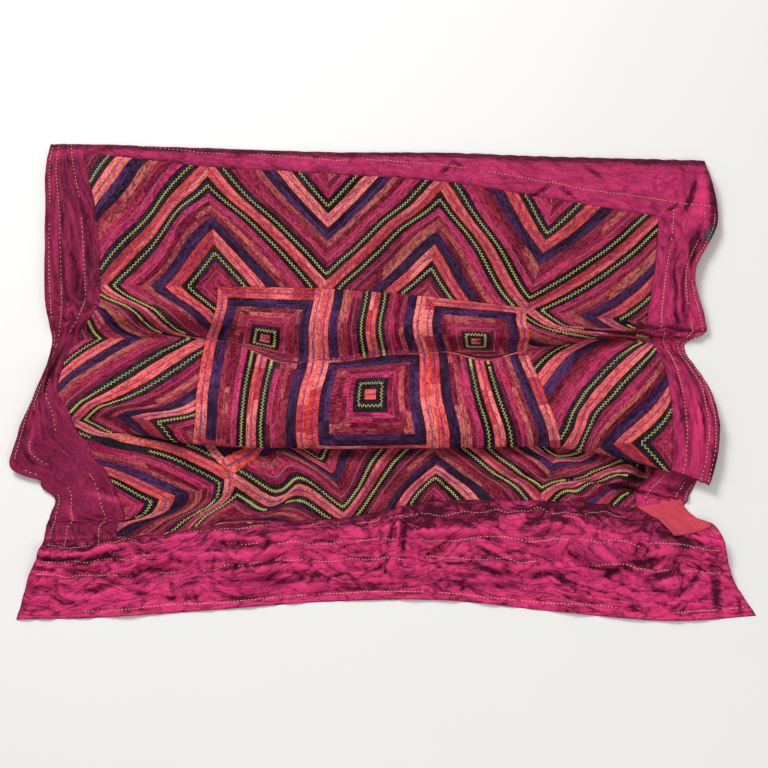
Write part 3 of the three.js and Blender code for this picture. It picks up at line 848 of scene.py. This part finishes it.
class Tree:
    """A node tree under construction."""

    def __init__(self, tree):
        self.tree = tree

    def node(self, kind, settings=None, sockets=None, out=0):
        """A new node with its settings and inputs, as the wire from one of its outputs."""
        made = self.tree.nodes.new(kind)
        for key, value in (settings or {}).items():
            setattr(made, key, value)
        for key, value in (sockets or {}).items():
            if isinstance(value, Wire):
                self.tree.links.new(value.socket, made.inputs[key])
            elif made.inputs[key].type == "RGBA" and len(value) == 3:
                made.inputs[key].default_value = (*value, 1)
            else:
                made.inputs[key].default_value = value
        return Wire(self, made.outputs[out]) if made.outputs else None

    def maths(self, operation, *values):
        return self.node("ShaderNodeMath", {"operation": operation}, dict(enumerate(values)))


class Finish(Tree):
    """A material under construction."""

    def __init__(self, name):
        self.material = bpy.data.materials.new(name)
        self.material.use_nodes = True
        super().__init__(self.material.node_tree)
        self.tree.nodes.clear()

    def between(self, factor, first, second, blend="MIX"):
        """A colour between two others."""
        return self.node("ShaderNodeMix", {"data_type": "RGBA", "blend_type": blend},
                         {0: factor, 6: first, 7: second}, out=2)

    def spread(self, value, low=0, high=1, to_low=0.0, to_high=1.0):
        """A value's range mapped onto another range and held inside it."""
        return self.node("ShaderNodeMapRange", {"clamp": True},
                         {0: value, 1: low, 2: high, 3: to_low, 4: to_high})

    def noise(self, place, scale, detail=2.0, roughness=0.5, distortion=0.0):
        return self.node("ShaderNodeTexNoise", {"noise_dimensions": "3D"},
                         {"Vector": place, "Scale": scale, "Detail": detail, "Roughness": roughness,
                          "Distortion": distortion})

    def grain(self, place, along, over, *quality):
        """Noise on a map, with so many changes a metre along and over it."""
        scaled = self.node("ShaderNodeMapping", {"vector_type": "POINT"},
                           {"Vector": place, "Scale": (along, over, 1)})
        return self.noise(scaled, 1.0, *quality)

    def map(self, name):
        return self.node("ShaderNodeUVMap", {"uv_map": name})

    def painted(self, name):
        """The colour of a painted layer, and the value kept beside it."""
        return [self.node("ShaderNodeVertexColor", {"layer_name": name}, out=out) for out in (0, 1)]

    def place(self):
        return self.node("ShaderNodeTexCoord", out="Object")

    def relief(self, strength, distance, height):
        return self.node("ShaderNodeBump", None,
                         {"Strength": strength, "Distance": distance, "Height": height})

    def finished(self, **sockets):
        """Sets the surface from the words of its sockets and returns the material."""
        names = {key.replace("_", " ").title().replace("Ior", "IOR"): value for key, value in sockets.items()}
        self.node("ShaderNodeOutputMaterial", None,
                  {"Surface": self.node("ShaderNodeBsdfPrincipled", None, names)})
        return self.material


def tinted(base, share):
    return tuple(min(1, c * share) for c in base)


def pieced_velvet():
    """Crushed velvet in the dye of each strip, which carries painted shade and painted light, its nap mottled
    along and over the strip.
    """
    f = Finish("pieced velvet")
    strip = f.map("strip")
    dye, crush = f.painted("dye")
    dashes = f.grain(strip, 74, 165, 2, 0.6, 0.8)
    streaks = f.grain(strip, 30, 230, 2, 0.6, 0.3)
    ribs = f.grain(strip, 190, 55, 2, 0.6, 0.4)
    broad = f.grain(strip, 10, 26, 2, 0.5)
    mixed = dashes * 0.4 + streaks * 0.3 + ribs * 0.12 + broad * 0.18
    nap = f.spread(0.5 + (mixed - 0.5) * (4.5 + crush * 7.5))
    shade = f.between(nap, f.between(1.0, dye, (0.46, 0.34, 0.42), "MULTIPLY"),
                      f.between(1.0, dye, (1.28, 1.4, 1.32), "MULTIPLY"))
    return f.finished(base_color=shade, roughness=f.spread(nap, 0, 1, 0.92, 0.7),
                      normal=f.relief(0.5, 0.0018, dashes * 0.6 + streaks * 0.4),
                      sheen_weight=0.02, sheen_roughness=0.35, sheen_tint=(1.0, 0.6, 0.7, 1),
                      specular_ior_level=0.08)


def border_velvet():
    """Plain crushed velvet: bright where its nap attribute is high, which holds painted sheen and painted
    shade, and darkened by painted shade along its sharp small creases, over its own crushed mottle.
    """
    f = Finish("border velvet")
    velvet = bpy.context.scene.bedspread_velvet
    run = f.map("run")
    # laid: the painted brightness of the nap, with its painted sheen and painted shade.
    laid, crumple = f.painted("nap")
    sway = f.grain(run, 4.5, 6, 1, 0.4)
    bent = f.node("ShaderNodeVectorMath", {"operation": "ADD"},
                  {0: run, 1: f.node("ShaderNodeCombineXYZ", None, {"Y": (sway - 0.5) * 0.12})})
    crushed = f.grain(run, 70, 120, 3, 0.6, 0.8) * 0.55 + f.grain(run, 170, 250, 2, 0.6, 0.4) * 0.45
    broad = f.grain(bent, 8, 16, 1, 0.5, 0.3)
    gathers = f.grain(bent, 11, 36, 1, 0.5, 0.3)
    folded = f.grain(bent, 8, 30, 1, 0.4, 0.6)
    small = f.grain(bent, 18, 62, 1, 0.4, 0.7)
    # veins: thin crease lines, used as painted shade in the colour and as bumps.
    veins = f.spread(abs(folded - 0.5), 0, 0.06) * 0.55 + f.spread(abs(small - 0.5), 0, 0.075) * 0.45
    nap = f.spread(laid + (crushed - 0.5) * (0.8 + crumple * 0.7) + (broad - 0.5) * 0.35
                   + ((gathers - 0.5) * 0.45 + (veins - 0.75)) * crumple)
    # The lit and the shaded ends of the border's colour, between which the nap, with its painted sheen,
    # painted shade and crushed mottle, blends it.
    light, dark = tuple(velvet.border_light), tuple(velvet.border_dark)
    middle = tuple(0.46 * (a + b) for a, b in zip(light, dark))
    shade = f.between(f.spread(nap, 0.5, 1), f.between(f.spread(nap, 0, 0.5), dark, middle), light)
    return f.finished(base_color=shade, roughness=f.spread(nap, 0, 1, 0.88, 0.55),
                      normal=f.relief(0.6, 0.004, crushed * 0.3 + (gathers + veins * 0.5) * crumple),
                      sheen_weight=0.02, sheen_roughness=0.35, sheen_tint=(1.0, 0.4, 0.6, 1),
                      specular_ior_level=0.14)


def lining_cotton():
    """Plain woven cotton with a slight slub."""
    f = Finish("lining cotton")
    flat = f.map("flat")
    threads, picks = (f.node("ShaderNodeTexWave", {"bands_direction": way},
                             {"Vector": flat, "Scale": 160.0, "Distortion": 1.0, "Detail": 1.0}, out=1)
                      for way in "XY")
    weave = threads * 0.5 + picks * 0.5
    tone = f.spread(weave * 0.4 + f.grain(flat, 30, 220, 3, 0.6) * 0.6, 0.25, 0.75)
    base = bpy.context.scene.bedspread_velvet.lining
    return f.finished(base_color=f.between(tone, tinted(base, 0.72), tinted(base, 1.12)),
                      roughness=f.spread(tone, 0, 1, 0.92, 0.8), normal=f.relief(0.3, 0.0006, weave),
                      specular_ior_level=0.2)


def thread(name, base):
    """Twisted cotton thread."""
    f = Finish(name)
    ply = f.noise(f.place(), 700.0, 2, 0.6)
    return f.finished(base_color=f.between(f.spread(ply, 0.3, 0.7), tinted(base, 0.62), tinted(base, 1.15)),
                      roughness=f.spread(ply, 0.3, 0.7, 0.75, 0.5), normal=f.relief(0.4, 0.0005, ply))


def plain_floor():
    f = Finish("plain floor")
    base = tuple(bpy.context.scene.bedspread_stage.floor)
    return f.finished(base_color=f.between(f.noise(f.place(), 3.0, 2), tinted(base, 0.985), base),
                      roughness=0.9, specular_ior_level=0.1)


def finish_of(make, *values):
    """A material, made once. Its name is the first value, or the words of the function that makes it."""
    name = values[0] if values else make.__name__.replace("_", " ")
    return bpy.data.materials.get(name) or make(*values)


# ---- hand stitches ----
def stitch_tree(name, material):
    """Geometry Nodes: one short thread, pointed at both ends, laid at every point along its direction."""
    tree = bpy.data.node_groups.new(name, "GeometryNodeTree")
    tree.interface.new_socket("Places", in_out="INPUT", socket_type="NodeSocketGeometry")
    for word in STITCH_SIZES:
        tree.interface.new_socket(word, in_out="INPUT", socket_type="NodeSocketFloat")
    tree.interface.new_socket("Stitches", in_out="OUTPUT", socket_type="NodeSocketGeometry")
    t = Tree(tree)
    places, long, wide, uneven = (t.node("NodeGroupInput", out=word) for word in ("Places", *STITCH_SIZES))
    run, out = (t.node("GeometryNodeInputNamedAttribute", {"data_type": "FLOAT_VECTOR"}, {"Name": word})
                for word in ("run", "out"))
    line = t.node("GeometryNodeMeshLine", {"mode": "END_POINTS"},
                  {"Count": 3, "Start Location": (-0.5, 0, 0), "Offset": (0.5, 0, 0)})
    path = t.node("GeometryNodeMeshToCurve", None, {"Mesh": line})
    ring = t.node("GeometryNodeCurvePrimitiveCircle", None, {"Resolution": 4, "Radius": 0.5})
    share = t.node("GeometryNodeSplineParameter", out="Factor")
    tapers = (t.node("ShaderNodeMapRange", {"interpolation_type": "SMOOTHSTEP"},
                     {"Value": share, "From Min": tip, "From Max": belly, "To Min": 0.35})
              for tip, belly in ((0.0, 0.34), (1.0, 0.66)))
    body = t.node("GeometryNodeCurveToMesh", None,
                  {"Curve": path, "Profile Curve": ring, "Scale": t.maths("MINIMUM", *tapers),
                   "Fill Caps": True})
    round_body = t.node("GeometryNodeSetShadeSmooth", None, {"Geometry": body})
    chance = t.node("FunctionNodeRandomValue", {"data_type": "FLOAT"}, {"Seed": 5}, out=1)
    size = t.node("ShaderNodeCombineXYZ", None,
                  {"X": long * t.maths("MULTIPLY_ADD", chance, uneven, 1.0), "Y": wide, "Z": wide})
    turn = t.node("FunctionNodeAxesToRotation", {"primary_axis": "X", "secondary_axis": "Z"},
                  {"Primary Axis": run, "Secondary Axis": out})
    laid = t.node("GeometryNodeInstanceOnPoints", None,
                  {"Points": places, "Instance": round_body, "Rotation": turn, "Scale": size})
    real = t.node("GeometryNodeRealizeInstances", None, {"Geometry": laid})
    dyed = t.node("GeometryNodeSetMaterial", None, {"Geometry": real, "Material": material})
    t.node("NodeGroupOutput", None, {"Stitches": dyed})
    return tree


def struck(name, starts, way):
    """Where a ray from each start, in metres, first meets a piece."""
    tree = BVHTree.FromObject(bpy.data.objects[name], bpy.context.evaluated_depsgraph_get())
    return [tree.ray_cast(Vector(start), Vector(way))[0] for start in starts]


def stitches(name, places, on_field, long, wide, uneven, material, apart=0.0):
    """Stitches at flat places, each turned to its heading, as one mesh on the velvet."""
    across, along, heading = places
    crown, shown = 0.0, True
    if on_field:
        crown, shown = strip_crown(across, along)[:, None] / METRE, is_open(across, along)
        across, along, heading = pulled_heading(across, along, heading)
        # Stitches are left out where painted shade is darkest.
        shown &= soft_folds(PAINTED_LIGHT_AND_SHADE, across, along) > DARKEST_STITCHED
    here, section_at, right, up, out = lay_with_directions(across, along)
    high = wrinkles(across, along, section_at)[:, None]
    at = (here + out * (high + THICK / 2 + crown + wide / METRE * STANDS) + TO_MIDDLE) * METRE
    run = right * np.cos(heading)[:, None] + up * np.sin(heading)[:, None]
    seen = shown & (section_at > TOP_FROM) & ((section_at < FRONT_TO) | (section_at > APRON_FROM))
    seen &= at[:, 2] > np.abs(run[:, 2]) * HALF_STITCH * long + wide / 2
    if not on_field:
        seen &= [hit is None for hit in struck("turned_lining", at - (0, 0, 0.02), (0, 0, 1))]
    last = at[0]
    for number in np.flatnonzero(seen) if apart else ():
        seen[number] = np.linalg.norm(at[number] - last) > apart
        last = at[number] if seen[number] else last
    mesh = bpy.data.meshes.new(name)
    mesh.from_pydata(at[seen].tolist(), [], [])
    for word, values in (("run", run), ("out", out)):
        layer = mesh.attributes.new(word, "FLOAT_VECTOR", "POINT")
        layer.data.foreach_set("vector", values[seen].astype(np.float32).ravel())
    points = added(name + "_places", mesh)
    modifier = points.modifiers.new("stitches", "NODES")
    modifier.node_group = stitch_tree(name, material)
    sizes = dict(zip(STITCH_SIZES, (long, wide, uneven)))
    for socket in modifier.node_group.interface.items_tree:
        if socket.name in sizes:
            modifier[socket.identifier] = sizes[socket.name]
    evaluated = points.evaluated_get(bpy.context.evaluated_depsgraph_get())
    real = bpy.data.meshes.new_from_object(evaluated)
    bpy.data.objects.remove(points)
    real.name = name
    return added(name, real)


def pulled_heading(across, along, heading):
    """Places and headings of stitches after the patchwork is pulled."""
    right, up = 2 * np.cos(heading), 2 * np.sin(heading)
    ahead, behind = pulled(across + right, along + up), pulled(across - right, along - up)
    return *pulled(across, along), np.arctan2(ahead[1] - behind[1], ahead[0] - behind[0])


def is_open(across, along):
    """Where the patchwork lies open enough to show its stitches, instead of gathered tightly."""
    at = lambda right, up: in_chunks(lambda a, b: [lay(*pulled(a, b))[0]], across + right, along + up)[0]
    sides = np.stack([at(STEP, 0) - at(-STEP, 0), at(0, STEP) - at(0, -STEP)], axis=2) / (2 * STEP)
    wide, narrow = np.linalg.svd(sides, compute_uv=False).T
    return (narrow > LEAST_WIDTH) & (wide * narrow > LEAST_AREA)


def zigzag_places(bands, pitch, angle):
    """Flat places and headings of the zigzag strokes on the middle seams of these bands."""
    parts = []

    def seam(row, column, *ends):
        start, end = (np.array([-FIELD + (column + a) * BLOCK, FIELD - (row + b) * BLOCK]) for a, b in ends)
        way = end - start
        count = max(2, int(round(np.linalg.norm(way) / (pitch / 2))))
        number = np.arange(count)
        spots = start + way * ((number + 0.5) / count)[:, None]
        parts.append([*spots.T, math.atan2(way[1], way[0]) + np.where(number % 2, angle, -angle)])

    for (row, column), kind in np.ndenumerate(BLOCKS):
        for band in bands:
            s, d = 2 * band / DIAGONAL_STRIPS, 2 * band / STRIPS
            near, far = 0.5 - d, 0.5 + d
            if kind in "/\\" and s < 1:
                for ends in [((s, 0), (1, 1 - s)), ((0, s), (1 - s, 1))][:2 if band else 1]:
                    seam(row, column, *(((1 - a, b) for a, b in ends) if kind == "/" else ends))
            elif kind == "i" and far < 1:
                for a in (near, far) if band else (near,):
                    seam(row, column, (a, 0), (a, 1))
            elif kind == "o" and band == 0:
                seam(row, column, (0.5 - 1 / STRIPS, 0.5), (0.5 + 1 / STRIPS, 0.5))
            elif kind == "o" and far < 1:
                corners = [(near, near), (far, near), (far, far), (near, far), (near, near)]
                for ends in zip(corners, corners[1:]):
                    seam(row, column, *ends)
    return [np.concatenate(column) for column in zip(*parts)]


def running_places():
    """Flat places and headings of the running stitches."""
    parts = []
    for side, rows in RUNNING_ROWS.items():
        upright = side in ("left", "right")
        outward = 1 if side in ("top", "right") else -1
        reach = FIELD + PAST_CORNER if upright else HEM - SHORT_OF_HEM
        count = int(2 * reach / RUNNING_PITCH)
        for number, inset in enumerate(rows):
            t = -reach + (np.arange(count) + 0.5) * 2 * reach / count
            sway = SWAY * cloudy(t / SWAY_SPACING, t * 0 + number + 3 * len(side), 3)
            if side == "bottom" and number < 3:
                sway += CRUMPLED_SWAY * cloudy(t / CRUMPLED_SPACING, t * 0 + number, 4)
            over = outward * (FIELD + inset) + sway
            whole = cloudy(t / WORN_SPACING, t * 0 + 5 * number + len(side), 6) <= WORN_ABOVE
            t, over = t[whole], over[whole]
            parts.append([over, t, np.full(len(t), math.pi / 2)] if upright else [t, over, np.zeros(len(t))])
    return [np.concatenate(column) for column in zip(*parts)]


# ---- operators ----
def declare(piece, nodes=()):
    """Ties a piece to the frame, and hides the parts of the model that it stands for."""
    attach(piece, "root")
    if nodes:
        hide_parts(*nodes)


FLOOR_HALF = 12.0  # metres
AIM_HEIGHT = 30.0  # millimetres from the surface up to where the camera aims
SENSOR = 36.0
# Lights: place and size in metres, and power as a share of the key light's.
LIGHTS = [
    ("key light", (-3.0, 4.6, 5.0), 3.0, 1.0),
    ("front light", (1.4, -3.0, 3.6), 2.6, 0.1),
]


class BEDSPREAD_OT_stage(Operator):
    """Lay the floor, hang the soft lights and set up the camera"""

    bl_idname = "bedspread.stage"
    bl_label = "Stage"

    def execute(self, context):
        stage = context.scene.bedspread_stage
        mesh = bpy.data.meshes.new("floor")
        corners = [(-1, -1), (1, -1), (1, 1), (-1, 1)]
        mesh.from_pydata([(x * FLOOR_HALF, y * FLOOR_HALF, 0) for x, y in corners], [], [(0, 1, 2, 3)])
        mesh.materials.append(finish_of(plain_floor))
        added("floor", mesh)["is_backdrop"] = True

        world = bpy.data.worlds.new("even light")
        world.use_nodes = True
        background = world.node_tree.nodes["Background"].inputs
        background["Color"].default_value = (1, 0.985, 0.97, 1)
        background["Strength"].default_value = stage.surround
        context.scene.world = world
        for name, place, size, share in LIGHTS:
            light = bpy.data.lights.new(name, "AREA")
            light.energy, light.size = stage.key * share, size
            lamp = added(name, light)
            lamp.location = place
            lamp.rotation_euler = (-lamp.location).to_track_quat("-Z", "Y").to_euler()

        camera = added("camera", bpy.data.cameras.new("camera"))
        camera.data.lens, camera.data.sensor_width = stage.lens, SENSOR
        aim = (TO_MIDDLE + (0, 0, AIM_HEIGHT)) * METRE
        camera.location = aim + stage.distance * np.array(
            [0, -math.cos(stage.elevation), math.sin(stage.elevation)])
        camera.rotation_euler = (math.pi / 2 - stage.elevation, 0, 0)
        context.scene.camera = camera
        context.scene.view_settings.view_transform = "Standard"
        return {"FINISHED"}


class BEDSPREAD_OT_surround(Operator):
    """Piece the sixteen outer blocks of diagonal strips"""

    bl_idname = "bedspread.surround"
    bl_label = "Diagonal Blocks"

    def execute(self, context):
        outside = lambda across, along: np.maximum(np.abs(across), np.abs(along)) > 1.5 * BLOCK
        piece = pieced("diagonal_blocks", DIAGONAL_STRIPS, 0, 5, keep=outside)
        declare(piece, ["pieced_field"])
        return {"FINISHED"}


class BEDSPREAD_OT_medallion(Operator):
    """Piece the nine middle blocks of nested squares and stripes"""

    bl_idname = "bedspread.medallion"
    bl_label = "Middle Blocks"

    def execute(self, context):
        piece = pieced("middle_blocks", STRIPS, 1, 4)
        declare(piece, ["pieced_field"])
        return {"FINISHED"}


def nap_shade(across, along, top_normals):
    """How bright the nap of the border is painted, with painted sheen where it tilts, painted shade in
    hollows, sunken creases and on the top fold's far side, painted light on ridges, and the painted light and
    shade of the table; and how much it is crumpled.
    """
    parts = part_weights(across, along)
    level, sheen_share, crease_shade_share, crumple = (
        sum(row[column] * parts[part] for part, row in NAP_PAINTED_LIGHT.items()) for column in range(4))
    section_at = in_chunks(lambda a, b: [lay(a, b)[1]], across, along)[0]
    # Painted shade in hollows and painted light on ridges, from how far the cloth stands over the cloth round
    # it.
    here, *around = (wrinkles(across + NEAR * a, along + NEAR * b, section_at)
                     for a, b in ((0, 0), (1, 0), (-1, 0), (0, 1), (0, -1)))
    hollow = here - sum(around) / 4
    # Painted sheen where the velvet faces the brightest way, and painted shade where it turns from it.
    painted_sheen = top_normals @ np.array(PAINTED_SHEEN_WAY) - PAINTED_SHEEN_FLAT
    # Painted shade on the top fold's far side.
    past_fold = along - FIELD - at_lines([TOP_FOLD.beyond], across)[0]
    turned = parts["top"] * np.clip(1 + past_fold / TURN_WIDTH, 0, 1)
    # Painted shade along sunken creases.
    crease = np.minimum(soft_folds(CREASES, across, along), 0)
    nap = (level + HOLLOW_PAINTED_SHADE * hollow + sheen_share * painted_sheen + crease_shade_share * crease
           + soft_folds(PAINTED_LIGHT_AND_SHADE, across, along) - TURN_PAINTED_SHADE * turned)
    return np.clip(nap, *NAP_RANGE), crumple


class BEDSPREAD_OT_borders(Operator):
    """Sew the plain velvet borders round the field"""

    bl_idname = "bedspread.borders"
    bl_label = "Borders"

    def execute(self, context):
        columns = np.concatenate([np.linspace(-HEM, -FIELD, 37), np.linspace(-FIELD, FIELD, 241)[1:],
                                  np.linspace(FIELD, HEM, 37)[1:]])
        rows = np.concatenate([np.linspace(HEM, FIELD, 33), np.linspace(FIELD, -FIELD, 241)[1:],
                               np.linspace(-FIELD, -HEM, 49)[1:]])
        ring = lambda a, b: np.maximum(np.abs(a), np.abs(b)) > FIELD
        across, along, faces = lattice(columns, rows, ring)
        piece = closed_sheet("borders", *skins(across, along), faces,
                             [finish_of(border_velvet), finish_of(lining_cotton),
                              finish_of(thread, "navy facing", linear("#1b2238"))])
        middle_across, middle_along = middles(faces, across, along)
        facing = (middle_across > HEM - FACING_WIDE) & (np.abs(middle_along - FACING_AT) < FACING_LONG / 2)
        for number in np.flatnonzero(facing):
            piece.data.polygons[number].material_index = 2
        normals = np.zeros(len(piece.data.vertices) * 3)
        piece.data.vertices.foreach_get("normal", normals)
        nap, crumple = nap_shade(across, along, normals.reshape(-1, 3)[:len(across)])
        write_corners(piece.data, "nap", np.stack([nap, nap, nap, crumple], axis=1)[faces])
        level = (np.abs(middle_along) > FIELD)[:, None]
        write_corners(piece.data, "run", np.where(level[..., None], flat_map(faces, across, along),
                                                  flat_map(faces, along, across)))
        declare(piece,
                ["border_top", "border_left", "border_right", "border_bottom_left", "border_bottom_right"])
        return {"FINISHED"}


class BEDSPREAD_OT_lining(Operator):
    """Turn up the lining at the right-hand gap"""

    bl_idname = "bedspread.lining"
    bl_label = "Lining"

    def execute(self, context):
        over, down, faces = lattice(np.linspace(0, 1, 27), np.linspace(1, 0, 29))
        rows = np.array([[*left, *right] for _, left, right in LINING_ROWS], float)
        knots = np.linspace(1, 0, len(rows))
        left_x, left_y, right_x, right_y = (smooth(knots, column, down)[0] for column in rows.T)
        x = left_x + (right_x - left_x) * over + 3.0 * cloudy(down * 5, over * 2, 8) * (0.3 + over)
        y = left_y + (right_y - left_y) * over
        place = np.stack([x, y, np.zeros(len(x))], axis=1) + TO_MIDDLE
        hits = struck("borders", place * METRE + (0, 0, 1), (0, 0, -1))
        beneath = np.maximum(LYING, [hit.z / METRE if hit else 0 for hit in hits])
        tucked = np.clip((down - 0.86) / 0.07, 0, 1)
        standing = np.clip(1 - over / 0.3, 0, 1) * np.clip(1.3 - down * 1.6, 0, 1)
        loose = 1.6 + 1.2 * cloudy(x / 22, y / 30, 9) - 6.0 * tucked + 6.0 * standing ** 2
        place[:, 2] = np.maximum(LYING, beneath + loose)
        cotton = finish_of(lining_cotton)
        piece = closed_sheet("turned_lining", (place + (0, 0, LINING_THICK)) * METRE, place * METRE, faces,
                             [cotton, cotton])
        write_corners(piece.data, "flat", flat_map(faces, x, y))
        declare(piece, ["lining"])
        return {"FINISHED"}


class BEDSPREAD_OT_embroidery(Operator):
    """Work the zigzag stitches over the seams of the coloured bands"""

    bl_idname = "bedspread.embroidery"
    bl_label = "Zigzag Embroidery"

    def execute(self, context):
        sizes = context.scene.bedspread_stitches
        for name, dye, bands, pitch, angle, share, thick in ZIGZAGS:
            piece = stitches(name, zigzag_places(bands, pitch, math.radians(angle)), True,
                             sizes.zigzag_length * share, sizes.zigzag_width * thick, ZIGZAG_UNEVEN,
                             finish_of(thread, name, getattr(sizes, dye)))
            declare(piece)
        return {"FINISHED"}


class BEDSPREAD_OT_running(Operator):
    """Work the rows of running stitches round the border"""

    bl_idname = "bedspread.running"
    bl_label = "Running Stitches"

    def execute(self, context):
        sizes = context.scene.bedspread_stitches
        piece = stitches("running_stitches", running_places(), False, sizes.running_length,
                         sizes.running_width, RUNNING_UNEVEN,
                         finish_of(thread, "cream thread", sizes.cream), apart=RUNNING_APART)
        declare(piece)
        return {"FINISHED"}


OPERATORS = (BEDSPREAD_OT_stage, BEDSPREAD_OT_surround, BEDSPREAD_OT_medallion, BEDSPREAD_OT_borders,
             BEDSPREAD_OT_lining, BEDSPREAD_OT_embroidery, BEDSPREAD_OT_running)


class BEDSPREAD_PT_panel(Panel):
    bl_idname = "BEDSPREAD_PT_panel"
    bl_label = "Bedspread"
    bl_space_type = "VIEW_3D"
    bl_region_type = "UI"
    bl_category = "Bedspread"

    def draw(self, context):
        layout = self.layout
        for group in (context.scene.bedspread_velvet, context.scene.bedspread_stitches,
                      context.scene.bedspread_stage):
            column = layout.column(align=True)
            for name in group.__annotations__:
                column.prop(group, name)
        for operator in OPERATORS:
            layout.operator(operator.bl_idname)


CLASSES = (VelvetSettings, StitchSettings, StageSettings, *OPERATORS, BEDSPREAD_PT_panel)
SETTINGS = {"bedspread_velvet": VelvetSettings, "bedspread_stitches": StitchSettings,
            "bedspread_stage": StageSettings}


def register():
    for cls in CLASSES:
        bpy.utils.register_class(cls)
    for name, group in SETTINGS.items():
        setattr(bpy.types.Scene, name, PointerProperty(type=group))


def unregister():
    for name in SETTINGS:
        delattr(bpy.types.Scene, name)
    for cls in reversed(CLASSES):
        bpy.utils.unregister_class(cls)


def main():
    register()
    for operator in OPERATORS:
        family, name = operator.bl_idname.split(".")
        getattr(getattr(bpy.ops, family), name)()
    plain = lambda box: [[float(value) for value in corner] for corner in box]
    {"cad": plain(CAD_BOX), "visual": plain(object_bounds())}


if __name__ == "__main__":
    main()
